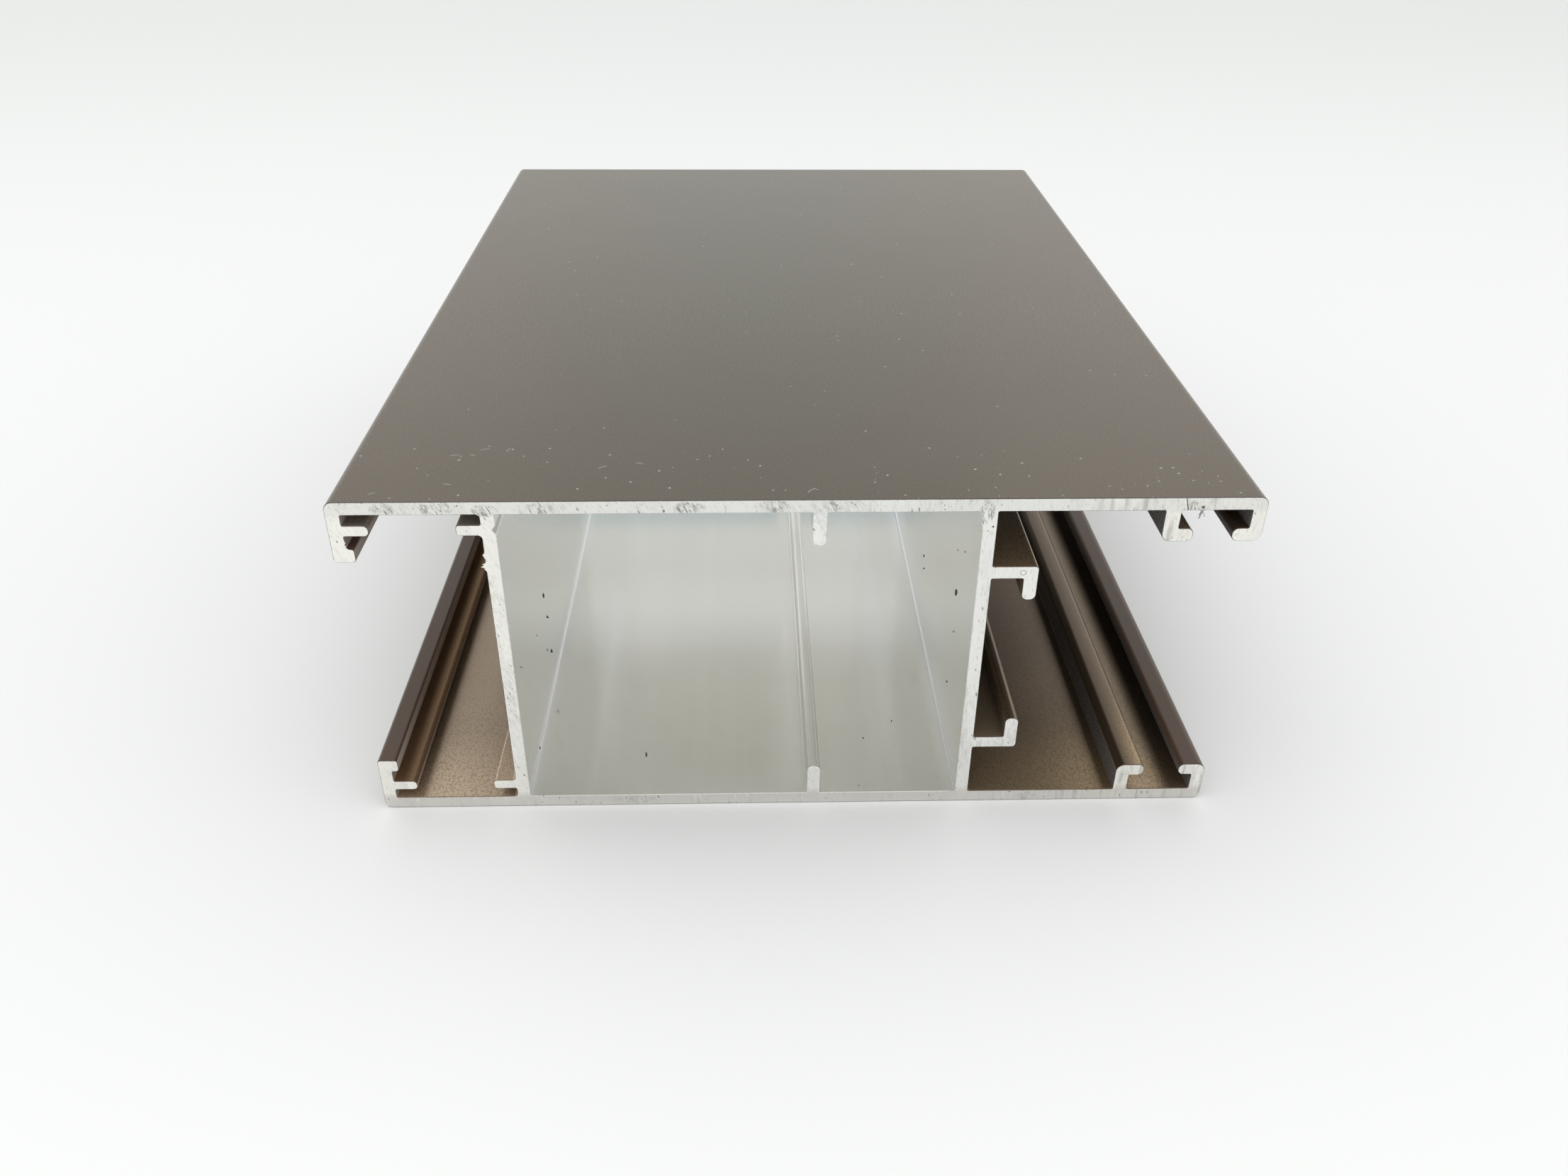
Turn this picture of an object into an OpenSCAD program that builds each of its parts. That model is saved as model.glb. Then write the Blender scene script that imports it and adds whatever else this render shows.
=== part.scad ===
// Hollow aluminium frame profile, a length sawn square at both ends. Sizes in millimetres.
// The section lies in X and Z and runs along Y. The origin is the middle of the underside.

/* [Stock] */

// Length between the two saw cuts
length = 123; // [40:1:400]

/* [Section] */

// Overall width over both flanges
profile_w = 90; // [86:0.5:110]
// Overall depth between the two show faces
profile_h = 38; // [34:0.5:50]
// Thickness of the two flange plates
plate_t = 1.4; // [1:0.05:1.8]
// Rounding of the four outer corners
edge_r = 0.9; // [0.3:0.05:1.2]
// Fillet in the inside corners
root_r = 0.15; // [0.05:0.05:0.25]

/* [Chamber] */

// Outside width of the hollow chamber
chamber_w = 49.5; // [40:0.5:52]
// Thickness of the two chamber walls
wall_t = 1.4; // [1:0.05:2]
// Overhang of the flanges beyond the narrow-side wall
narrow_overhang = 14.5; // [12:0.25:16]
// Distance of the chamber ribs from the wide-side wall
rib_inset = 15.7; // [6:0.1:28]
// Thickness of the chamber ribs
rib_t = 1.4; // [1:0.05:2]
// Height of the chamber ribs above the plates
rib_h = 3.7; // [2:0.1:8]
// Rounding of the chamber rib tips
rib_tip_r = 0.6; // [0.2:0.05:0.7]
// Width of the scored line inside the narrow-side wall
score_w = 1; // [0.5:0.05:1.4]
// Depth of the scored line
score_depth = 0.35; // [0.1:0.05:0.6]

/* [Narrow-side returns] */

// Height of the returns from the show face
return_h = 6.6; // [5.6:0.1:9]
// Thickness of the returns
return_t = 1.4; // [1:0.05:2]
// Thickness of the lip along the edge of a return
lip_t = 1.5; // [1:0.05:1.8]
// Reach of that lip past the inside of the return
lip_reach = 0.75; // [0.4:0.05:1.5]
// Rounding of the lip
lip_r = 0.35; // [0.1:0.05:0.45]

/* [Clip ribs] */

// Distance from the show face to the clip ribs
clip_offset = 2.55; // [2.2:0.05:2.8]
// Thickness of the clip ribs
clip_t = 1.15; // [0.8:0.05:1.25]
// Reach of the clip rib on a return
clip_reach = 2.45; // [1:0.05:3.5]
// Rounding of that rib's tip
clip_tip_r = 0.5; // [0.2:0.05:0.55]
// Reach of the clip rib on the chamber wall
wall_clip_reach = 2.4; // [1:0.05:3.5]
// Rounding of the wall rib's tip
wall_clip_tip_r = 0.35; // [0.1:0.05:0.55]
// Fillet between the narrow-side wall and what stands on it
wall_clip_root_r = 0.4; // [0.1:0.05:0.45]

/* [Hardware groove] */

// Inside width of the groove on the wide-side wall
groove_w = 20; // [18:0.5:22]
// Clear width between the groove's two hooks
groove_mouth = 15; // [11:0.5:16]
// Clear depth behind the hooks
groove_depth = 3.2; // [2.5:0.1:5]
// Thickness of the groove's side plates
hook_t = 1.4; // [1:0.05:2]
// Thickness of the hooks
leg_t = 1.45; // [1:0.05:2]
// Rounding of the hook tips
leg_tip_r = 0.6; // [0.2:0.05:0.7]
// Rounding of the hooks' outer corners
hook_r = 0.4; // [0.1:0.05:0.8]

/* [Gasket channels] */

// Inside width of a channel
channel_w = 6.9; // [6:0.1:9]
// Clear width of a channel's mouth
channel_mouth = 3.8; // [2.5:0.1:4.5]
// Inside depth of a channel
channel_depth = 2; // [1.5:0.1:4]
// Thickness of the channel's outer wall
channel_wall_t = 1.4; // [1:0.05:2]
// Thickness of the channel's inner wall
stem_t = 1.55; // [1:0.05:2]
// Thickness of the channel lips
channel_lip_t = 1.45; // [1:0.05:2]
// Rounding of the channel lip tips
channel_tip_r = 0.65; // [0.2:0.05:0.7]
// Rounding of the channel's outer corners
channel_r = 0.95; // [0.3:0.05:1.2]

/* [Hidden] */

$fn = 64;

// Overlap between shapes that grow out of each other
bite = 0.3;

left_x = -profile_w / 2;
right_x = profile_w / 2;

wall_left = left_x + narrow_overhang;
wall_right = wall_left + chamber_w;
chamber_left = wall_left + wall_t;
chamber_right = wall_right - wall_t;
rib_x = chamber_right - rib_inset;

return_x = left_x + return_t;
lip_x = return_x + lip_reach;
clip_z = clip_offset + clip_t / 2;

hook_z = (profile_h - groove_w) / 2 - hook_t;
leg_x = wall_right + groove_depth;
hook_x = leg_x + leg_t;
leg_reach = (groove_w - groove_mouth) / 2;

channel_h = plate_t + channel_depth + channel_lip_t;
channel_right = right_x - channel_wall_t;
channel_left = channel_right - channel_w;
stem_x = channel_left - stem_t;
channel_lip = (channel_w - channel_mouth) / 2;
channel_lip_z = channel_h - channel_lip_t / 2;

// A plain bar between two opposite corners
module bar(a, b) {
    translate([min(a.x, b.x), min(a.y, b.y)])
        square([abs(b.x - a.x), abs(b.y - a.y)]);
}

// The waste outside a rounded corner: d points from the corner into the metal
module corner_waste(p, r, d) {
    difference() {
        bar(p - bite * d, p + r * d);
        translate(p + r * d)
            circle(r);
    }
}

// The fillet in an inside corner: d points from the corner into the open space
module corner_fill(p, r, d) {
    difference() {
        bar(p - bite * d, p + r * d);
        translate(p + r * d)
            circle(r);
    }
}

// A finger that stands on a face at p, points along angle, and is rounded at its tip
module finger(p, angle, reach, t, tip_r) {
    r = min(tip_r, 0.48 * t);
    translate(p)
        rotate(angle) {
            translate([-bite, -t / 2])
                square([reach - r + bite, t]);
            translate([0, r - t / 2])
                square([reach, t - 2 * r]);
            for (side = [-1, 1])
                translate([reach - r, side * (t / 2 - r)])
                    circle(r);
        }
}

// The edge return on the narrow side, with its lip and clip rib
module narrow_return() {
    difference() {
        union() {
            bar([left_x, 0], [return_x, return_h]);
            bar([left_x, return_h - lip_t], [lip_x, return_h]);
        }
        corner_waste([left_x, return_h], lip_r, [1, -1]);
        corner_waste([lip_x, return_h], lip_r, [-1, -1]);
        corner_waste([lip_x, return_h - lip_t], lip_r, [-1, 1]);
    }
    finger([return_x, clip_z], 0, clip_reach, clip_t, clip_tip_r);
    corner_fill([return_x, plate_t], root_r, [1, 1]);
    corner_fill([return_x, clip_z - clip_t / 2], root_r, [1, -1]);
    corner_fill([return_x, clip_z + clip_t / 2], root_r, [1, 1]);
    corner_fill([return_x, return_h - lip_t], root_r, [1, -1]);
}

// The clip rib on the outside of the narrow-side wall, facing the one on the return
module wall_clip() {
    finger([wall_left, clip_z], 180, wall_clip_reach, clip_t, wall_clip_tip_r);
    corner_fill([wall_left, plate_t], wall_clip_root_r, [-1, 1]);
    corner_fill([wall_left, clip_z - clip_t / 2], root_r, [-1, -1]);
    corner_fill([wall_left, clip_z + clip_t / 2], wall_clip_root_r, [-1, 1]);
}

// The rib that stands on a plate inside the chamber
module chamber_rib() {
    finger([rib_x, plate_t], 90, rib_h, rib_t, rib_tip_r);
    corner_fill([rib_x - rib_t / 2, plate_t], root_r, [-1, 1]);
    corner_fill([rib_x + rib_t / 2, plate_t], root_r, [1, 1]);
    corner_fill([chamber_left, plate_t], root_r, [1, 1]);
    corner_fill([chamber_right, plate_t], root_r, [-1, 1]);
}

// One side of the hardware groove, a plate with a hook turned inward
module hardware_hook() {
    difference() {
        union() {
            bar([wall_right - bite, hook_z], [hook_x, hook_z + hook_t]);
            finger([leg_x + leg_t / 2, hook_z + hook_t], 90, leg_reach, leg_t, leg_tip_r);
        }
        corner_waste([hook_x, hook_z], hook_r, [-1, 1]);
    }
    corner_fill([wall_right, plate_t], root_r, [1, 1]);
    corner_fill([wall_right, hook_z], root_r, [1, -1]);
    corner_fill([wall_right, hook_z + hook_t], root_r, [1, 1]);
    corner_fill([leg_x, hook_z + hook_t], root_r, [-1, 1]);
}

// The gasket channel along the wide-side edge, two walls with lips turned towards each other
module gasket_channel() {
    difference() {
        union() {
            bar([stem_x, 0], [channel_left, channel_h]);
            bar([channel_right, 0], [right_x, channel_h]);
            finger([channel_left, channel_lip_z], 0, channel_lip, channel_lip_t, channel_tip_r);
            finger([channel_right, channel_lip_z], 180, channel_lip, channel_lip_t, channel_tip_r);
        }
        corner_waste([stem_x, channel_h], channel_r, [1, -1]);
        corner_waste([right_x, channel_h], channel_r, [-1, -1]);
    }
    corner_fill([stem_x, plate_t], root_r, [-1, 1]);
    corner_fill([channel_left, plate_t], root_r, [1, 1]);
    corner_fill([channel_left, plate_t + channel_depth], root_r, [1, -1]);
    corner_fill([channel_right, plate_t], root_r, [-1, 1]);
    corner_fill([channel_right, plate_t + channel_depth], root_r, [-1, -1]);
}

// Everything that stands on one show face
module flange() {
    difference() {
        union() {
            bar([left_x, 0], [right_x, plate_t]);
            narrow_return();
            wall_clip();
            chamber_rib();
            hardware_hook();
            gasket_channel();
        }
        corner_waste([left_x, 0], edge_r, [1, 1]);
        corner_waste([right_x, 0], edge_r, [-1, 1]);
    }
}

// The line scored inside the narrow-side wall, level with the upper clip ribs
module score_line() {
    translate([chamber_left, profile_h - clip_z])
        polygon([
            [-score_depth, 0],
            [0, -score_w / 2],
            [bite, -score_w / 2],
            [bite, score_w / 2],
            [0, score_w / 2]
        ]);
}

// The whole section: two like flanges joined by the two chamber walls
module section() {
    difference() {
        union() {
            flange();
            translate([0, profile_h])
                mirror([0, 1])
                    flange();
            bar([wall_left, plate_t / 2], [chamber_left, profile_h - plate_t / 2]);
            bar([chamber_right, plate_t / 2], [wall_right, profile_h - plate_t / 2]);
        }
        score_line();
    }
}

// The sawn length of profile
module frame_profile() {
    color("#6f6358")
        rotate([90, 0, 0])
            linear_extrude(height = length, center = true)
                section();
}

frame_profile();
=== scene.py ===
import math

import bpy
from mathutils import Matrix, Vector


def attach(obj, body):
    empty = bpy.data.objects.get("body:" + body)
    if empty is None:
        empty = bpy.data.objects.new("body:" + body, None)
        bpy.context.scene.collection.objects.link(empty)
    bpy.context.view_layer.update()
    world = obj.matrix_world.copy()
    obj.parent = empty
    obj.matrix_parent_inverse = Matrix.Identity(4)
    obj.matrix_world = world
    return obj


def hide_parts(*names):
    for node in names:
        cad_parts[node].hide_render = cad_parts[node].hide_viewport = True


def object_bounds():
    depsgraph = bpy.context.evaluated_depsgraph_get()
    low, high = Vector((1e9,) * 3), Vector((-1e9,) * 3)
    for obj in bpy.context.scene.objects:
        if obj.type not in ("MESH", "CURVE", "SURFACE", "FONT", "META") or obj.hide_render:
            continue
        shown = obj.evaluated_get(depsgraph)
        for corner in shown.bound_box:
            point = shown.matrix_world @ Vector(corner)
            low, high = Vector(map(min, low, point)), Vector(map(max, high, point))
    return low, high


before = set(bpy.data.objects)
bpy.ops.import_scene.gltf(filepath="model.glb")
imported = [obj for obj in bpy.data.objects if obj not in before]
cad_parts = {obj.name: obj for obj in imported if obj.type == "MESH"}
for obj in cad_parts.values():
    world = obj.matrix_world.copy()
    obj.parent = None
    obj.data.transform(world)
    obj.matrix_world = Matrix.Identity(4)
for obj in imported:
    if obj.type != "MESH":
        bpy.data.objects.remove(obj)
cad_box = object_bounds()

MM = 0.001
NODE = "frame_profile"
low, high = (Vector(corner) for corner in cad_box)

# Places on the section in millimetres, across from its middle and up from its underside
SIDE, TOP, END = high.x / MM, high.z / MM, high.y / MM
CHAMBER_RIB = 1.9
CHANNEL_START = 33.0
CHANNEL_FLOOR = 37.0
CHANNEL_LIP = 38.1
OUTER_CLIP = -38.0
POCKET_ACROSS, POCKET_UP = (18.5, 19.0, 22.0, 22.4), (4.0, 6.0, 20.0, 26.0)
HOOK_ACROSS, HOOK_UP = (21.9, 22.3, 23.7, 24.0), (7.0, 8.0, 14.0, 16.0)
DIE_LINE = (37.85, 4.85)
LINT = (38.6, 36.6)
SLIT = (37.1, 37.3)
STAMP, STAMP_RADIUS = (22.1, 29.7), 0.27


class Wire:
    """One value in a node tree. Arithmetic on it adds Math nodes."""

    def __init__(self, net, socket):
        self.net = net
        self.socket = socket

    def math(self, operation, *others):
        sockets = dict(enumerate((self, *others)))
        return self.net.node("ShaderNodeMath", {"operation": operation}, sockets)

    def __add__(self, other):
        return self.math("ADD", other)

    __radd__ = __add__

    def __sub__(self, other):
        return self.math("SUBTRACT", other)

    def __rsub__(self, other):
        return self.net.node("ShaderNodeMath", {"operation": "SUBTRACT"}, {0: other, 1: self})

    def __mul__(self, other):
        return self.math("MULTIPLY", other)

    __rmul__ = __mul__

    def __truediv__(self, other):
        return self.math("DIVIDE", other)

    def __abs__(self):
        return self.math("ABSOLUTE")

    def __lt__(self, other):
        return self.math("LESS_THAN", other)

    def __gt__(self, other):
        return self.math("GREATER_THAN", other)

    def step(self, start, stop):
        """0 below start, 1 above stop, smooth between."""
        return self.net.node("ShaderNodeMapRange", {"interpolation_type": "SMOOTHSTEP"},
                             {"Value": self, "From Min": start, "From Max": stop})

    def within(self, start, full, fade, stop):
        """0 outside start and stop, 1 from full to fade, smooth between."""
        return self.step(start, full) * (1 - self.step(fade, stop))

    def least(self, other):
        return self.math("MINIMUM", other)

    def most(self, other):
        return self.math("MAXIMUM", other)


class Net:
    """A node tree that is being built."""

    def __init__(self, tree):
        self.tree = tree

    def node(self, kind, settings=None, sockets=None, out=0):
        """Adds a node, sets it up, fills its sockets and gives the outputs asked for."""
        made = self.tree.nodes.new(kind)
        for key, value in (settings or {}).items():
            setattr(made, key, value)
        for key, value in (sockets or {}).items():
            for one in value if isinstance(value, list) else [value]:
                if isinstance(one, Wire):
                    self.tree.links.new(one.socket, made.inputs[key])
                else:
                    made.inputs[key].default_value = one
        if out is None:
            return None
        if isinstance(out, tuple):
            return [Wire(self, made.outputs[key]) for key in out]
        return Wire(self, made.outputs[out])

    def vector(self, operation, a, b=None, scale=None, out=0):
        sockets = {0: a}
        if b is not None:
            sockets[1] = b
        if scale is not None:
            sockets["Scale"] = scale
        return self.node("ShaderNodeVectorMath", {"operation": operation}, sockets, out)

    def parts(self, vector):
        return self.node("ShaderNodeSeparateXYZ", None, {0: vector}, (0, 1, 2))

    def join(self, x, y, z):
        return self.node("ShaderNodeCombineXYZ", None, {0: x, 1: y, 2: z})

    def noise(self, place, scale, detail=2.0, rough=0.5):
        return self.node("ShaderNodeTexNoise", None,
                         {"Vector": place, "Scale": scale, "Detail": detail, "Roughness": rough})

    def blend(self, share, a, b):
        """Colour a where share is 0, colour b where it is 1."""
        return self.node("ShaderNodeMix", {"data_type": "RGBA"}, {0: share, 6: a, 7: b}, 2)

    def bump(self, height, strength, depth_mm):
        return self.node("ShaderNodeBump", None,
                         {"Height": height, "Strength": strength, "Distance": depth_mm * MM})

    def dots(self, across, along, per_mm, share, radius_mm):
        """1 inside scattered dots of mixed sizes on a flat face, one in that share of the cells."""
        away, tint = self.node("ShaderNodeTexVoronoi", {"voronoi_dimensions": "2D"},
                               {"Vector": self.join(across, along, 0.0), "Scale": per_mm},
                               ("Distance", "Color"))
        pick, size = self.node("ShaderNodeSeparateColor", None, {0: tint}, (0, 1))
        reach = radius_mm * per_mm * (0.35 + 0.65 * size)
        return (1 - away.step(reach * 0.6, reach)) * (pick < share)

    def spot(self, across, up, reach_across, reach_up):
        """1 at the middle of an oval and 0 outside it, from two distances to its middle."""
        far = (across / reach_across).math("POWER", 2.0) + (up / reach_up).math("POWER", 2.0)
        return 1 - far.step(0.2, 1.0)


def colour(red, green, blue):
    return (red, green, blue, 1.0)


def start_finish(name):
    """A new material with its tree and its place on the object in millimetres."""
    material = bpy.data.materials.new(name)
    material.use_nodes = True
    material.node_tree.nodes.clear()
    net = Net(material.node_tree)
    place = net.node("ShaderNodeTexCoord", out="Object")
    return material, net, net.vector("SCALE", place, scale=1 / MM)


def end_finish(net, sockets):
    shader = net.node("ShaderNodeBsdfPrincipled", None, sockets)
    net.node("ShaderNodeOutputMaterial", None, {"Surface": shader}, None)


FIBRE_RADIUS = 0.035

# Light fibres lying on the top face: across, along and length in millimetres, turn in degrees
FIBRES = (
    (-31.7, -50.3, 0.9, 20),
    (-29.3, -50.5, 0.7, 65),
    (-32.7, -51.6, 0.6, -30),
    (-34.5, -51.6, 0.8, 10),
    (-19.4, -54.4, 1.0, 35),
    (-15.8, -53.6, 0.8, -15),
    (1.0, -59.6, 0.9, 50),
    (1.5, -59.3, 0.6, -40),
    (-34.0, -57.9, 0.8, -20),
    (-40.8, -59.7, 0.7, 30),
)


def bronze_coat():
    """Satin bronze on the show faces, thinning to a golden, speckled film inside the recesses."""
    material, net, place = start_finish("bronze_coat")
    x, y, z = net.parts(place)
    facing = net.parts(net.node("ShaderNodeTexCoord", out="Normal"))[2]
    depth, inward = z.least(TOP - z), SIDE - abs(x)
    narrow_side = 1 - x.step(-30.0, -20.0)
    sawn_off = 1 - y.step(-END, -END + 13.0)

    # The film lies on the faces of the recesses that look up; upright faces keep the dark show colour as
    # painted shade, and the lower hook's pocket is mostly painted dark as shade
    lip = depth.step(4.2, 4.6) * inward.within(0.1, 0.4, 3.0, 3.2)
    recess = depth.step(0.4, 1.2) * inward.step(0.25, 0.7) * (1 - lip)
    pocket_painted_shade = x.within(*POCKET_ACROSS) * z.within(*POCKET_UP)
    film = recess * facing.step(0.0, 0.5) * (1 - 0.8 * pocket_painted_shade)
    cloud = net.noise(place, 0.09, 3.0)
    peel = net.noise(place, 1.6, 2.0)
    grain = net.noise(place, 6.0, 3.0, 0.6)
    speck = net.noise(net.vector("MULTIPLY", place, (6.0, 3.6, 6.0)), 1.0, 4.0, 0.75).step(0.44, 0.66)
    speck = speck * (1 - 0.5 * y.step(-END + 2.0, -END + 24.0))

    # The show faces, and the upright faces inside the two edge channels, which carry painted light on the
    # clip-rib side and painted shade on the hooked side
    show = net.blend(cloud, colour(0.089, 0.069, 0.0465), colour(0.104, 0.082, 0.058))
    show = net.blend(grain.step(0.35, 0.75) * 0.35, show, colour(0.17, 0.139, 0.104))
    show = net.blend(lip, show, colour(0.08, 0.046, 0.028))
    # Painted light and shade: upright channel faces lighter on the clip-rib side, dark grey on the hooked
    # side
    cheek_light_and_shade = net.blend(narrow_side, colour(0.14, 0.132, 0.132), colour(0.38, 0.33, 0.3))
    inner = recess.most(lip * inward.step(1.1, 1.35) * (1 - facing.step(0.3, 0.7)))
    show = net.blend(inner * abs(x).step(CHANNEL_START, CHANNEL_START + 1.0), show, cheek_light_and_shade)

    # The film on the hooked side, lighter at the cut, with painted shade on the lower hook and on the lip
    # top beside the channel, and painted light on the channel floor
    wide = net.blend(cloud, colour(0.25, 0.187, 0.125), colour(0.32, 0.245, 0.168))
    wide = net.blend(y.step(-58.0, -30.0) * 0.6, wide, colour(0.19, 0.152, 0.128))
    wide = net.blend(z.step(16.0, 20.0) * 0.7, wide, colour(0.28, 0.255, 0.235))
    wide = net.blend(sawn_off, wide, colour(0.5, 0.37, 0.23))
    # Painted shade along the lip top beside the channel
    lip_top_painted_shade = z.step(4.0, 4.4) * x.step(CHANNEL_START, CHANNEL_START + 1.0)
    lip_top_painted_shade = lip_top_painted_shade * abs(x - CHANNEL_LIP).step(0.1, 2.2)
    wide = net.blend(lip_top_painted_shade * 0.85, wide, colour(0.11, 0.08, 0.055))
    # Painted light: the channel floor lightened
    channel = (1 - z.step(2.0, 2.4)) * x.step(CHANNEL_FLOOR, CHANNEL_FLOOR + 0.5)
    wide = net.blend(channel * 0.35, wide, colour(0.4, 0.31, 0.22))
    # Painted shade on the lower hook
    hook_painted_shade = x.within(*HOOK_ACROSS) * z.within(*HOOK_UP)
    wide = net.blend(hook_painted_shade * 0.6, wide, colour(0.11, 0.085, 0.065))

    # The film on the clip-rib side, painted much lighter than the same film on the hooked side as painted
    # light
    narrow = net.blend(cloud, colour(0.55, 0.437, 0.328), colour(0.632, 0.522, 0.408))
    narrow = net.blend(sawn_off * 0.8, narrow, colour(0.9, 0.72, 0.53))
    narrow = net.blend(z.step(2.2, 2.6) * (x < OUTER_CLIP), narrow, colour(0.37, 0.24, 0.14))
    narrow = net.blend(z.step(20.0, 30.0), narrow, colour(0.5, 0.49, 0.42))
    # Painted light: the clip-rib side's film lighter than the hooked side's
    thin = net.blend(narrow_side, wide, narrow)
    dark_speck = net.blend(narrow_side, colour(0.09, 0.065, 0.04), colour(0.26, 0.165, 0.095))
    thin = net.blend(speck * 0.7, thin, dark_speck)
    die_line = (1 - abs(x - DIE_LINE[0]).step(0.02, 0.06)) * (abs(z - DIE_LINE[1]) < 0.08)
    thin = net.blend(die_line * 0.35, thin, colour(0.05, 0.04, 0.03))
    base = net.blend(film, show, thin)
    rim = abs(y).step(END - 0.16, END - 0.05) * 0.7
    base = net.blend(rim, base, colour(0.045, 0.03, 0.024))

    # Dust and fibres on the top face, thickest by the cut
    on_top = z > TOP - 0.05
    near_saw = 1 - y.step(-END + 3.0, -END + 14.0)
    drift = net.noise(place, 0.13, 2.0).step(0.42, 0.6)
    dust = net.dots(x + 0.3 * peel, y + 0.25 * grain, 0.8, 0.02 + 0.3 * near_saw * drift, 0.15)
    for across, along, length, turn in FIBRES:
        east, north = x - across, y - along
        cos, sin = math.cos(math.radians(turn)), math.sin(math.radians(turn))
        ahead = east * cos + north * sin
        sideways = north * cos - east * sin + 0.3 * ahead * ahead
        dust = dust.most((abs(ahead) < length / 2) * (abs(sideways) < FIBRE_RADIUS))
    dust = dust * on_top
    base = net.blend(dust * 0.75, base, colour(0.62, 0.61, 0.57))
    end_finish(net, {
        "Base Color": base,
        "Metallic": 0.9 * film * (1 - speck * 0.25) * (1 - rim),
        "Roughness": 0.22 + 0.1 * grain + film * (0.06 + 0.12 * narrow_side) + 0.14 * lip + 0.3 * dust,
        "Normal": net.bump(peel * 0.6 + grain * 0.4, 0.3, 0.05),
    })
    return material


def mill_aluminium(hollow):
    """Bare metal inside the chamber, drawn in fine lines along its length."""
    material, net, place = start_finish("mill_aluminium")
    drawn = net.noise(net.vector("MULTIPLY", place, (3.2, 0.012, 3.2)), 1.0, 4.0, 0.6)
    band = net.noise(net.vector("MULTIPLY", place, (0.35, 0.004, 0.35)), 1.0, 2.0)
    cloud = net.noise(place, 0.16, 3.0)
    x, y, z = net.parts(place)
    spots = net.dots(x + z, y, 0.5, 0.16, 0.09)
    tone = 0.5 * band + 0.3 * cloud + 0.2 * drawn
    base = net.blend(tone, colour(0.76, 0.755, 0.725), colour(0.845, 0.84, 0.815))
    sideways, _, upward = net.parts(net.node("ShaderNodeTexCoord", out="Normal"))
    walls, floor = abs(sideways).step(0.5, 0.9), upward.step(0.5, 0.9)
    # Painted shade: the upright walls darker than the floor
    base = net.blend(walls * 0.8, base, colour(0.7, 0.7, 0.668))
    # Painted reflection: a bright band across the chamber floor
    bright = floor * y.within(-41.0, -31.0, -26.0, -12.0)
    base = net.blend(bright * 0.8, base, colour(0.93, 0.928, 0.905))
    # Painted light: walls and floor lighter farther into the chamber
    deep_painted_light = (walls * y.step(-12.0, 2.0)).most(floor * y.step(4.0, 14.0))
    base = net.blend(deep_painted_light, base, colour(0.92, 0.92, 0.91))
    base = net.blend(spots * 0.6, base, colour(0.2, 0.2, 0.17))

    # Painted highlight beside the four long corners, and painted shade in their fillets, stronger on the
    # left
    corner, fillet_shade_mask = 1.0, 1.0
    for value, axis in ((x, 0), (z, 2)):
        reach = [point[axis] / MM for point in hollow]
        away = (value - min(reach)).least(max(reach) - value)
        corner = corner * (1 - away.step(0.3, 2.0))
        fillet_shade_mask = fillet_shade_mask * (1 - away.step(0.25, 0.45))
    base = net.blend(corner, base, colour(0.85, 0.855, 0.855))
    fillet_shade_colour = net.blend(y.step(-50.0, 30.0), colour(0.43, 0.435, 0.435), colour(0.37, 0.375, 0.375))
    base = net.blend(fillet_shade_mask * (1 - 0.86 * (x > 0.0)), base, fillet_shade_colour)
    rib = (1 - abs(x - CHAMBER_RIB).step(0.6, 1.2)) * (1 - z.step(7.0, 8.0))
    end_finish(net, {
        "Base Color": base,
        "Metallic": 1.0,
        "Roughness": 0.07 + 0.04 * cloud + 0.05 * drawn + 0.12 * rib,
        "Normal": net.bump(drawn, 0.08, 0.02),
    })
    return material


# Dark smears on the near cut end: across, up and their reach each way in millimetres
SMEARS = (
    (-39.5, 37.2, 1.4, 0.8),
    (-34.6, 37.3, 2.2, 0.9),
    (-30.0, 37.0, 1.6, 0.8),
    (-24.8, 37.2, 1.6, 0.8),
    (-10.6, 37.2, 1.8, 0.8),
    (-2.4, 37.3, 2.0, 0.8),
    (3.2, 37.3, 1.2, 0.7),
    (17.8, 36.6, 1.0, 1.6),
    (37.4, 37.0, 1.2, 0.8),
    (38.6, 36.8, 0.7, 0.5),
    (-17.6, 0.7, 3.0, 0.7),
    (25.6, 0.6, 1.4, 0.7),
)

# Pits in the near cut end: across, up and radius in millimetres
PITS = (
    (18.6, 34.95, 0.14),
    (-13.0, 36.9, 0.13),
    (-11.2, 36.9, 0.08),
    (3.1, 35.4, 0.09),
    (23.7, 1.2, 0.12),
    (38.66, 36.95, 0.2),
)


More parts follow.
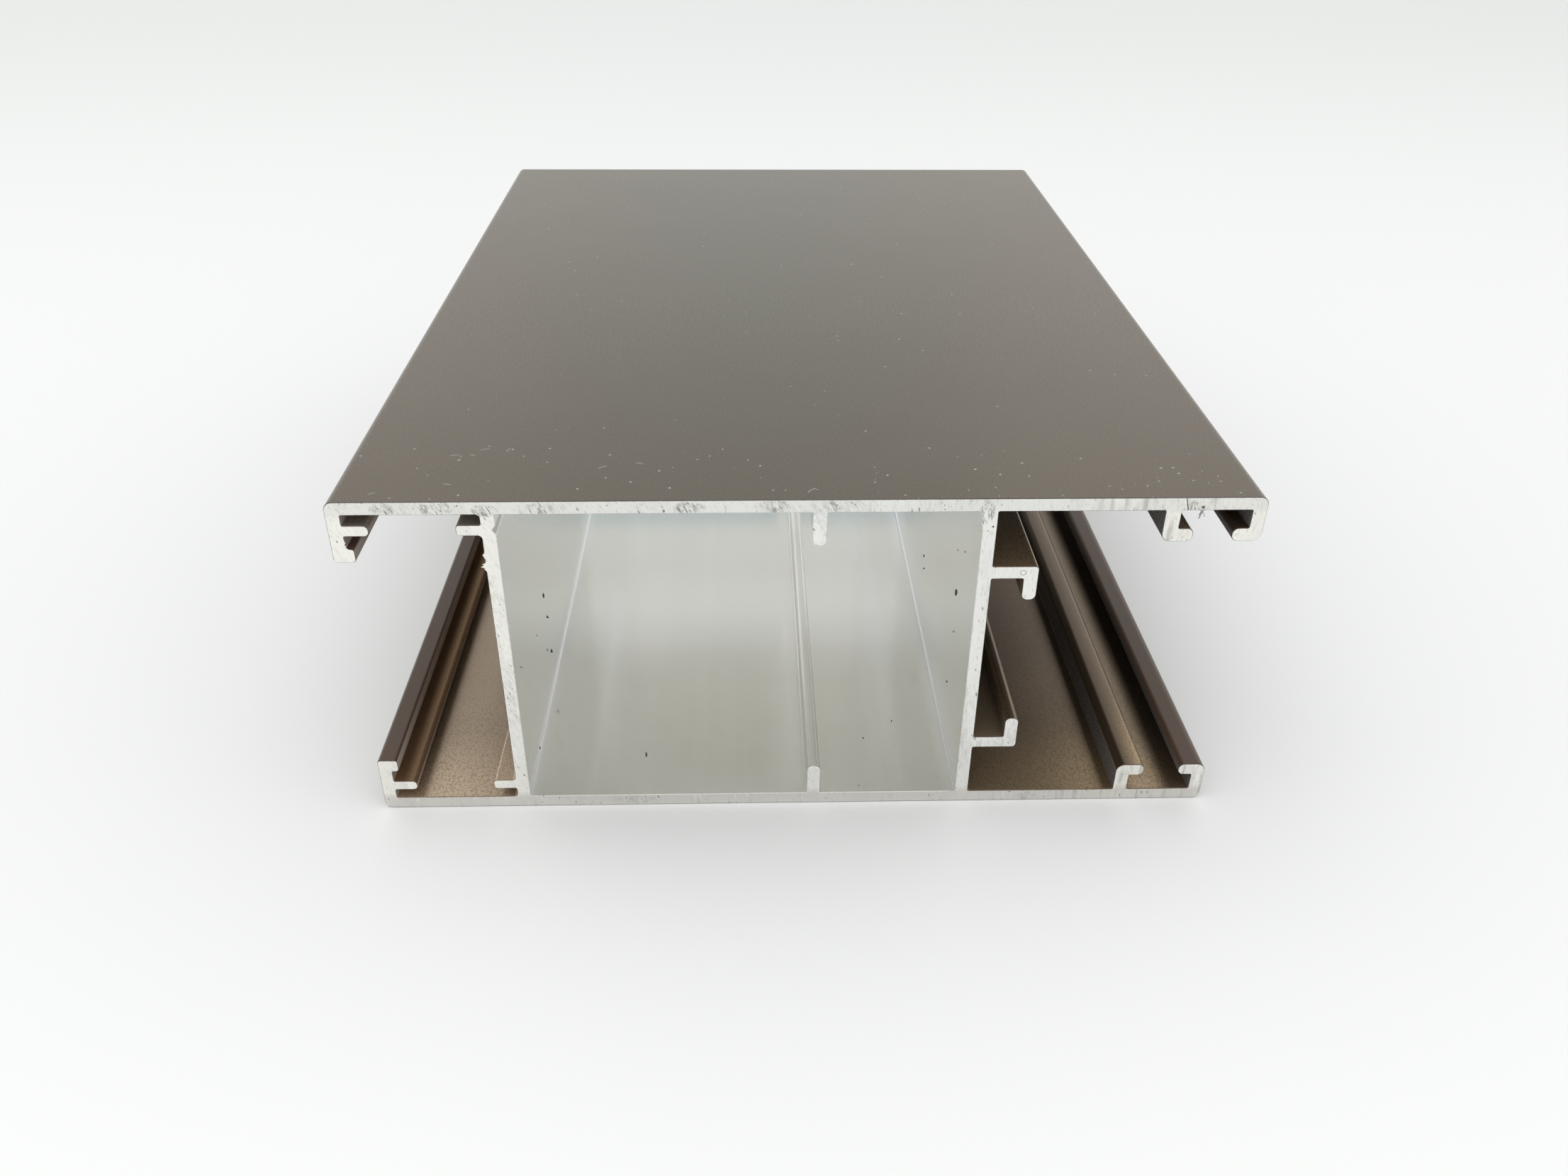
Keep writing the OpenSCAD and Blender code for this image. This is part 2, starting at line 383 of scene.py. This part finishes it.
def sawn_aluminium():
    """The bright cut ends, with the saw's steps and lines, smears and caught dirt."""
    material, net, place = start_finish("sawn_aluminium")
    x, y, z = net.parts(place)
    lean = 0.55 - 0.47 * (x > 6.0)
    across, along = x + lean * z, z - lean * x
    grain = net.noise(place, 3.0, 4.0, 0.65)
    kerf = net.noise(net.join(across * 8.0, along * 0.5, y * 0.01), 1.0, 3.0, 0.6)
    bite = (x + 0.1 * z) * 0.36 + 0.12 * net.noise(place, 0.7, 2.0)
    tone = net.node("ShaderNodeTexWhiteNoise", {"noise_dimensions": "1D"},
                    {"W": bite.math("FLOOR")}, "Value")
    tone = 0.5 * tone + 0.5 * tone * bite.math("FRACT").math("POWER", 2.0)
    near_end = y < 0.0
    dirty = net.noise(place, 0.16, 2.0).step(0.48, 0.64) * 0.3
    for middle, height, reach_across, reach_up in SMEARS:
        dirty = dirty.most(net.spot(x - middle, z - height, reach_across, reach_up) * near_end)
    dirty = dirty * (0.4 + 0.6 * z.step(1.0, 3.0))
    rubbed = net.noise(net.join(across * 1.7, along * 0.8, y * 0.02), 1.0, 5.0, 0.75)
    torn = net.noise(net.join(across * 6.0 + 2.0 * grain, along * 0.6 + grain, y * 0.02), 1.0, 2.0, 0.5)
    smear = (rubbed.step(0.45, 0.68) * 0.75).most(torn.step(0.57, 0.67) * 0.85) * dirty
    nicks = net.noise(net.join(across * 5.0 + grain, along * 1.3, y * 0.02), 1.0, 3.0, 0.65)
    marks = net.dots(across + 0.4 * grain, along * 0.33, 1.6, 0.14 + 0.4 * dirty, 0.1)
    pits = net.dots(x + 0.2 * grain, z + 0.1 * kerf, 1.7, 0.03 + 0.12 * dirty, 0.09)
    for middle, height, radius in PITS:
        pits = pits.most(net.spot(x - middle, z - height, radius, radius) * near_end)
    slit = abs(x - SLIT[0] + 0.25 * (z - SLIT[1]) + 0.15 * (grain - 0.5))
    pits = pits.most((1 - slit.step(0.03, 0.08)) * (z > 36.4) * near_end)
    from_stamp = net.vector("DISTANCE", place, (STAMP[0], -END, STAMP[1]), out="Value")
    stamp = (1 - abs(from_stamp - STAMP_RADIUS).step(0.02, 0.07)) * near_end
    drag = net.noise(net.join(x * 1.6, z * 0.12, y * 0.02), 1.0, 3.0, 0.6).step(0.5, 0.68)
    drag = drag * x.step(24.0, 32.0)

    cream = abs(x).step(24.0, 34.0)
    clean_and_shaded = net.blend(cream, colour(0.89, 0.893, 0.873), colour(0.925, 0.91, 0.86))
    # Painted shade: the top plate's cut end darker
    clean_and_shaded = net.blend(z.step(36.0, 36.8) * 0.5, clean_and_shaded, colour(0.74, 0.745, 0.73))
    base = net.blend(tone * 0.6, clean_and_shaded, colour(0.74, 0.73, 0.705))
    base = net.blend(kerf.step(0.5, 0.72) * 0.3, base, colour(0.62, 0.61, 0.575))
    base = net.blend(nicks.step(0.58, 0.7) * 0.45, base, colour(0.34, 0.335, 0.3))
    base = net.blend((1 - z.step(1.2, 2.2)) * 0.7, base, colour(0.63, 0.61, 0.585))
    base = net.blend(drag * 0.5, base, colour(0.38, 0.38, 0.34))
    base = net.blend(smear, base, colour(0.11, 0.108, 0.085))
    base = net.blend(stamp * 0.7, base, colour(0.3, 0.3, 0.27))
    base = net.blend(marks * 0.7, base, colour(0.14, 0.13, 0.105))
    base = net.blend(pits * 0.9, base, colour(0.06, 0.055, 0.045))
    height = kerf * 0.4 + tone * 0.3 + grain * 0.3 - pits - 0.4 * marks - 0.3 * stamp
    end_finish(net, {
        "Base Color": base,
        "Metallic": 1.0 - 0.6 * smear - 0.5 * marks.most(pits),
        "Roughness": 0.45 + 0.2 * grain,
        "Normal": net.bump(height, 0.3, 0.06),
    })
    return material


def dark_swarf():
    """Oxidised chips and dirty lint from the saw."""
    material, net, place = start_finish("dark_swarf")
    grain = net.noise(place, 5.0, 3.0)
    base = net.blend(grain, colour(0.04, 0.04, 0.033), colour(0.16, 0.155, 0.125))
    end_finish(net, {"Base Color": base, "Roughness": 0.55 + 0.3 * grain})
    return material


def start_tree(name, sizes):
    """A Geometry Nodes tree with one named input for each size."""
    tree = bpy.data.node_groups.new(name, "GeometryNodeTree")
    tree.interface.new_socket("Geometry", in_out="INPUT", socket_type="NodeSocketGeometry")
    for label, value in sizes.items():
        kind = "NodeSocketInt" if isinstance(value, int) else "NodeSocketFloat"
        tree.interface.new_socket(label, in_out="INPUT", socket_type=kind)
    tree.interface.new_socket("Geometry", in_out="OUTPUT", socket_type="NodeSocketGeometry")
    net = Net(tree)
    return net, net.node("NodeGroupInput", out=tuple(range(len(sizes) + 1)))


def grow(name, mesh, net, sizes):
    """Runs a tree on a mesh and gives the result as a plain object."""
    host = bpy.data.objects.new(name, mesh)
    bpy.context.scene.collection.objects.link(host)
    modifier = host.modifiers.new(net.tree.name, "NODES")
    modifier.node_group = net.tree
    for item in net.tree.interface.items_tree:
        if item.in_out == "INPUT" and item.name in sizes:
            modifier[item.identifier] = sizes[item.name]
    graph = bpy.context.evaluated_depsgraph_get()
    plain = bpy.data.meshes.new_from_object(host.evaluated_get(graph), depsgraph=graph)
    plain.name = name
    if plain.materials[0] is None:
        plain.materials.pop(index=0)
    host.modifiers.clear()
    host.data = plain
    return host


def section_outlines():
    """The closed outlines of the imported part's near end, widest first, as points in order."""
    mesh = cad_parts[NODE].data
    sides = set()
    for face in mesh.polygons:
        if face.normal.y < -0.99:
            points = [tuple(round(c, 7) for c in mesh.vertices[i].co) for i in face.vertices]
            for a, b in zip(points, points[1:] + points[:1]):
                if (b, a) in sides:
                    sides.remove((b, a))
                else:
                    sides.add((a, b))
    follow = dict(sorted(sides))
    loops = []
    while follow:
        loop = [next(iter(follow))]
        while loop[-1] in follow:
            loop.append(follow.pop(loop[-1]))
        loops.append(loop[:-1])
    return sorted(loops, key=lambda loop: min(point[0] for point in loop))


def outline_mesh(outlines):
    """The outlines as a mesh of edges alone."""
    points, edges = [], []
    for loop in outlines:
        first, count = len(points), len(loop)
        edges += [(first + k, first + (k + 1) % count) for k in range(count)]
        points += loop
    mesh = bpy.data.meshes.new("section_outline")
    mesh.from_pydata(points, edges, [])
    return mesh


# Burrs the saw left on the near end: across, up, reach and size in millimetres
BURRS = (
    (-30.6, 32.1, 0.4, 0.55),
    (-30.6, 30.8, 0.6, 0.95),
    (-43.5, 33.7, 0.3, 0.3),
    (-43.5, 33.1, 0.3, 0.35),
    (17.7, 35.4, 1.3, 0.4),
    (17.3, 1.5, 0.5, 0.35),
)


def sawn_profile(finishes, outlines):
    """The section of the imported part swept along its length, with broken, burred ends."""
    weld, ring_reach, end_reach = 0.0002 * MM, 0.002 * MM, 0.02 * MM
    margin = 0.5 * MM
    sharp = math.radians(42)
    sizes = {
        "Length": 2 * END * MM,
        "Outline Step": 0.1 * MM,
        "Edge Break": 0.06 * MM,
        "Saw Wander": 0.03 * MM,
        "Burr Depth": 0.5 * MM,
    }
    net, inputs = start_tree("profile_sweep", sizes)
    part, length, outline_step, edge_break, wander, burr_depth = inputs
    normal = net.node("GeometryNodeInputNormal")
    position = net.node("GeometryNodeInputPosition")
    facing = net.parts(normal)[1]
    outline = net.node("GeometryNodeMeshToCurve", None, {"Mesh": part})
    after = net.node("GeometryNodeOffsetPointInCurve", None, {"Offset": 1}, "Point Index")
    there = net.node("GeometryNodeFieldAtIndex", {"data_type": "FLOAT_VECTOR"},
                     {"Index": after, "Value": position})
    gap = net.vector("DISTANCE", position, there, out="Value")
    fine = net.node("GeometryNodeSubdivideCurve", None,
                    {"Curve": outline, "Cuts": (gap / outline_step).math("FLOOR")})
    flat = net.node("GeometryNodeTransform", None,
                    {"Geometry": fine, "Rotation": (-math.pi / 2, 0, 0), "Scale": (1 / MM,) * 3})
    filled = net.node("GeometryNodeFillCurve", {"mode": "TRIANGLES"}, {"Curve": flat})
    near_end = net.node("GeometryNodeTransform", None, {
        "Geometry": filled, "Translation": net.join(0.0, length * -0.5, 0.0),
        "Rotation": (math.pi / 2, 0, 0), "Scale": (MM,) * 3})
    body = net.node("GeometryNodeFlipFaces", None, {"Mesh": near_end})
    along = net.join(0.0, 1.0, 0.0)
    ends = edge_break + burr_depth
    lead = None
    for reach in (edge_break, burr_depth, length - 2 * ends, burr_depth, edge_break):
        sockets = {"Mesh": body, "Offset": along, "Offset Scale": reach, "Individual": False}
        if lead:
            sockets["Selection"] = lead
        body, lead = net.node("GeometryNodeExtrudeMesh", {"mode": "FACES"}, sockets, ("Mesh", "Top"))
    body = net.node("GeometryNodeJoinGeometry", None, {"Geometry": [body, near_end]})
    body = net.node("GeometryNodeMergeByDistance", None, {"Geometry": body, "Distance": weld})

    # The sawn edges are drawn in, wander a little and carry the burrs, all inside the CAD box
    mm = net.vector("SCALE", position, scale=1 / MM)
    x, y, z = net.parts(position)
    outward = net.vector("NORMALIZE", net.vector("MULTIPLY", normal, (1, 0, 1)))
    move = wander * (2 * net.noise(mm, 5.0, 3.0, 0.7) - 1) - edge_break
    ragged = net.noise(mm, 4.0, 3.0, 0.7).step(0.3, 0.7)
    for across, up, reach, size in BURRS:
        away = net.vector("DISTANCE", mm, (across, -END, up), out="Value")
        move = move + size * MM * ragged * (1 - away / reach).most(0.0)
    body = net.node("GeometryNodeSetPosition", None, {
        "Geometry": body, "Selection": abs(y) > length * 0.5 - end_reach,
        "Offset": net.vector("SCALE", outward, scale=move)})
    kept = net.vector("MINIMUM", net.vector("MAXIMUM", position, tuple(low)), tuple(high))
    body = net.node("GeometryNodeSetPosition", None, {"Geometry": body, "Position": kept})

    body = net.node("GeometryNodeSetShadeSmooth", None, {"Geometry": body, "Shade Smooth": True})
    bend = net.node("GeometryNodeInputMeshEdgeAngle")
    ring = abs(abs(y) - (length * 0.5 - edge_break)) < ring_reach
    body = net.node("GeometryNodeSetShadeSmooth", {"domain": "EDGE"}, {
        "Geometry": body, "Selection": ring.most(bend > sharp), "Shade Smooth": False})

    # Coat everywhere, then bare metal in the chamber and on the cut ends
    inside = None
    for value, axis in ((x, 0), (z, 2)):
        reach = [point[axis] for point in outlines[1]]
        within = (value > min(reach) - margin) * (value < max(reach) + margin)
        inside = within if inside is None else inside * within
    body = net.node("GeometryNodeRealizeInstances", None, {"Geometry": body})
    cut = abs(facing) > 0.9 - 0.6 * inside
    for choice, finish in ((None, "coat"), (inside, "mill"), (cut, "sawn")):
        sockets = {"Geometry": body, "Material": finishes[finish]}
        if choice:
            sockets["Selection"] = choice
        body = net.node("GeometryNodeSetMaterial", None, sockets)
    net.node("NodeGroupOutput", None, {"Geometry": body}, None)
    return grow("sawn_profile", outline_mesh(outlines), net, sizes)


# Chips stuck in the chamber: across, along, up and length in millimetres
CHIPS = (
    (-16.9, -54.7, 1.45, 0.55),
    (8.2, -52.2, 1.4, 0.34),
    (-8.4, -51.0, 1.4, 0.2),
    (7.0, -60.4, 1.4, 0.22),
    (11.8, -49.1, 1.4, 0.36),
    (-29.1, -41.7, 14.8, 0.65),
    (-29.1, -40.7, 11.2, 0.5),
    (-29.1, -43.0, 7.9, 0.34),
    (-29.1, -40.5, 6.1, 0.55),
    (-29.1, -48.1, 13.5, 0.24),
    (-29.1, -58.0, 16.3, 0.26),
    (-29.1, -53.9, 11.3, 0.24),
    (-29.1, -53.8, 1.8, 0.4),
    (17.6, -51.3, 20.9, 0.8),
    (17.6, -52.1, 16.3, 0.3),
    (17.6, -50.9, 8.5, 0.36),
    (17.6, -50.1, 25.6, 0.24),
    (17.6, -54.1, 27.7, 0.24),
    (17.6, -27.5, 11.3, 0.44),
    (17.6, -28.3, 9.9, 0.36),
)


def saw_chips(finish):
    """Small jagged chips lying on the chamber's floor and clinging to its walls."""
    mesh = bpy.data.meshes.new("chip_places")
    mesh.from_pydata([(x * MM, y * MM, z * MM) for x, y, z, length in CHIPS], [], [])
    lengths = mesh.attributes.new("chip_length", "FLOAT", "POINT")
    lengths.data.foreach_set("value", [length * MM for *place, length in CHIPS])
    sizes = {"Flatness": 0.36, "Jaggedness": 0.35, "Seed": 11}
    net, (places, flatness, jagged, seed) = start_tree("chip_scatter", sizes)
    chip = net.node("GeometryNodeMeshIcoSphere", None, {"Radius": 0.5, "Subdivisions": 3}, "Mesh")
    position = net.node("GeometryNodeInputPosition")
    swell = 1 + jagged * (2 * net.noise(position, 3.1, 3.0) - 1) * 2
    lumpy = net.vector("SCALE", position, scale=swell)
    shape = net.vector("MULTIPLY", lumpy, net.join(1.0, flatness, flatness))
    chip = net.node("GeometryNodeSetPosition", None, {"Geometry": chip, "Position": shape})
    length = net.node("GeometryNodeInputNamedAttribute", {"data_type": "FLOAT"},
                      {"Name": "chip_length"})
    turn = net.node("FunctionNodeRandomValue", {"data_type": "FLOAT_VECTOR"},
                    {"Min": (0.0, 0.0, 0.0), "Max": (math.tau,) * 3, "Seed": seed})
    chips = net.node("GeometryNodeInstanceOnPoints", None,
                     {"Points": places, "Instance": chip, "Rotation": turn, "Scale": length})
    chips = net.node("GeometryNodeRealizeInstances", None, {"Geometry": chips})
    chips = net.node("GeometryNodeSetMaterial", None, {"Geometry": chips, "Material": finish})
    net.node("NodeGroupOutput", None, {"Geometry": chips}, None)
    return grow("saw_chips", mesh, net, sizes)


def lint_tuft(finish):
    """A few dirty fibres caught on the sawn edge over the upper gasket channel."""
    middle = Vector((LINT[0], -END + 0.12, LINT[1])) * MM
    mesh = bpy.data.meshes.new("tuft_place")
    mesh.from_pydata([middle], [], [])
    sizes = {
        "Fibre Radius": 0.026 * MM,
        "Fibre Length": 1.0 * MM,
        "Curl": 0.6 * MM,
        "Fibres": 18,
        "Seed": 5,
    }
    net, (place, radius, length, curl, count, seed) = start_tree("tuft_fibres", sizes)
    position = net.node("GeometryNodeInputPosition")
    start = net.node("FunctionNodeRandomValue", {"data_type": "FLOAT_VECTOR"},
                     {"Min": tuple(middle - Vector((0.25, 0.04, 0.1)) * MM),
                      "Max": tuple(middle + Vector((0.25, 0.1, 0.2)) * MM), "Seed": seed})
    points = net.node("GeometryNodePoints", None, {"Count": count, "Position": start})
    fibre = net.node("GeometryNodeCurvePrimitiveLine", None,
                     {"Start": (0.0, 0.0, 0.0), "End": net.join(length, 0.0, 0.0)})
    fibre = net.node("GeometryNodeResampleCurve", None, {"Curve": fibre, "Count": 12})
    lie = net.node("FunctionNodeRandomValue", {"data_type": "FLOAT_VECTOR"},
                   {"Min": (0.0, 0.0, -0.1), "Max": (0.0, math.tau, 0.1), "Seed": seed})
    size = net.node("FunctionNodeRandomValue", {"data_type": "FLOAT"},
                    {2: 0.35, 3: 1.0, "Seed": seed}, 1)
    tuft = net.node("GeometryNodeInstanceOnPoints", None,
                    {"Points": points, "Instance": fibre, "Rotation": lie, "Scale": size})
    tuft = net.node("GeometryNodeRealizeInstances", None, {"Geometry": tuft})
    sway = net.node("ShaderNodeTexNoise", None,
                    {"Vector": net.vector("SCALE", position, scale=1 / MM), "Scale": 1.6}, "Color")
    sway = net.vector("SUBTRACT", sway, (0.5, 0.5, 0.5))
    bent = net.vector("MULTIPLY", sway, net.join(curl, curl * 0.1, curl))
    tuft = net.node("GeometryNodeSetPosition", None, {"Geometry": tuft, "Offset": bent})
    ring = net.node("GeometryNodeCurvePrimitiveCircle", None,
                    {"Resolution": 5, "Radius": radius}, "Curve")
    tuft = net.node("GeometryNodeCurveToMesh", None,
                    {"Curve": tuft, "Profile Curve": ring, "Fill Caps": True})
    tuft = net.node("GeometryNodeSetMaterial", None, {"Geometry": tuft, "Material": finish})
    net.node("NodeGroupOutput", None, {"Geometry": tuft}, None)
    return grow("lint_tuft", mesh, net, sizes)


def pale_floor():
    """A pale table top that the profile lies on, with painted light in front of it and painted shade far
    behind it.
    """
    material, net, place = start_finish("pale_table")
    cloud = net.noise(place, 0.004, 2.0)
    along = net.parts(place)[1]
    base = net.blend(cloud, colour(0.895, 0.902, 0.9), colour(0.91, 0.917, 0.915))
    # Painted light in front of the profile, where its shade falls, and painted shade far behind it
    base = net.blend(1 - along.step(-140.0, -40.0), base, colour(0.945, 0.952, 0.945))
    base = net.blend(along.step(0.0, 500.0), base, colour(0.82, 0.83, 0.822))
    end_finish(net, {"Base Color": base, "Roughness": 0.55 + 0.05 * cloud})
    half, gap = 12.0, 0.02 * MM
    level = low.z - gap
    corners = [(-half, -half, level), (half, -half, level), (half, half, level), (-half, half, level)]
    mesh = bpy.data.meshes.new("pale_floor")
    mesh.from_pydata(corners, [], [(0, 1, 2, 3)])
    mesh.materials.append(material)
    floor = bpy.data.objects.new("pale_floor", mesh)
    bpy.context.scene.collection.objects.link(floor)


def soft_light():
    """Even studio light: a pale room with a blue-green card above the far end, and one broad lamp."""
    world = bpy.data.worlds.new("pale_room")
    bpy.context.scene.world = world
    world.use_nodes = True
    world.node_tree.nodes.clear()
    net = Net(world.node_tree)
    way = net.node("ShaderNodeTexCoord", out="Generated")
    x, y, z = net.parts(way)
    turn, rise = (wire * math.degrees(1) for wire in (x.math("ARCTAN2", y), z.math("ARCSINE")))
    tone = net.blend(z.step(0.2, 0.9), colour(1.0, 0.99, 0.96), colour(0.81, 0.825, 0.835))
    card = net.blend(rise.step(18.0, 28.0), colour(0.64, 0.92, 0.9), colour(0.54, 0.6, 0.61))
    card = net.blend(rise.step(30.0, 35.0), card, colour(0.82, 0.82, 0.77))
    card = net.blend(rise.step(36.0, 40.0), card, colour(0.55, 0.545, 0.5))
    tone = net.blend(net.spot(turn, rise - 31.0, 17.0, 17.0), tone, card)
    light = net.node("ShaderNodeBackground", None, {"Color": tone, "Strength": 1.0})
    net.node("ShaderNodeOutputWorld", None, {"Surface": light}, None)

    lamp = bpy.data.lights.new("broad_softbox", "AREA")
    lamp.shape = "RECTANGLE"
    lamp.size, lamp.size_y = 1.4, 1.0
    lamp.energy = 3.3
    lamp.color = (1.0, 0.99, 0.975)
    holder = bpy.data.objects.new("broad_softbox", lamp)
    bpy.context.scene.collection.objects.link(holder)
    holder.location = (-0.1, -0.14, 1.05)
    holder.rotation_euler = (-holder.location).to_track_quat("-Z", "Y").to_euler()


def photo_camera():
    """The viewing angle of the photograph, found from the section's edges."""
    data = bpy.data.cameras.new("camera")
    data.sensor_fit = "HORIZONTAL"
    data.sensor_width = 36.0
    data.lens = 28.905
    data.clip_start, data.clip_end = 0.005, 20.0
    right = Vector((0.999607, -0.026904, 0.007849))
    ahead = Vector((0.026928, 0.844389, -0.535053))
    upward = right.cross(ahead)
    place = Vector((-4.876, -166.606, 94.739)) * MM
    camera = bpy.data.objects.new("camera", data)
    bpy.context.scene.collection.objects.link(camera)
    turn = Matrix((right, upward, -ahead)).transposed().to_4x4()
    camera.matrix_world = Matrix.Translation(place) @ turn
    bpy.context.scene.camera = camera


scene = bpy.context.scene
scene.view_settings.view_transform = "Standard"
# The chamber's bright walls mirror each other many times
scene.cycles.max_bounces = 16
scene.cycles.glossy_bounces = 12
outlines = section_outlines()
finishes = {"coat": bronze_coat(), "mill": mill_aluminium(outlines[1]), "sawn": sawn_aluminium()}
profile = sawn_profile(finishes, outlines)
swarf = dark_swarf()
for piece in (profile, saw_chips(swarf), lint_tuft(swarf)):
    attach(piece, "root")
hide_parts(NODE)
pale_floor()
soft_light()
photo_camera()
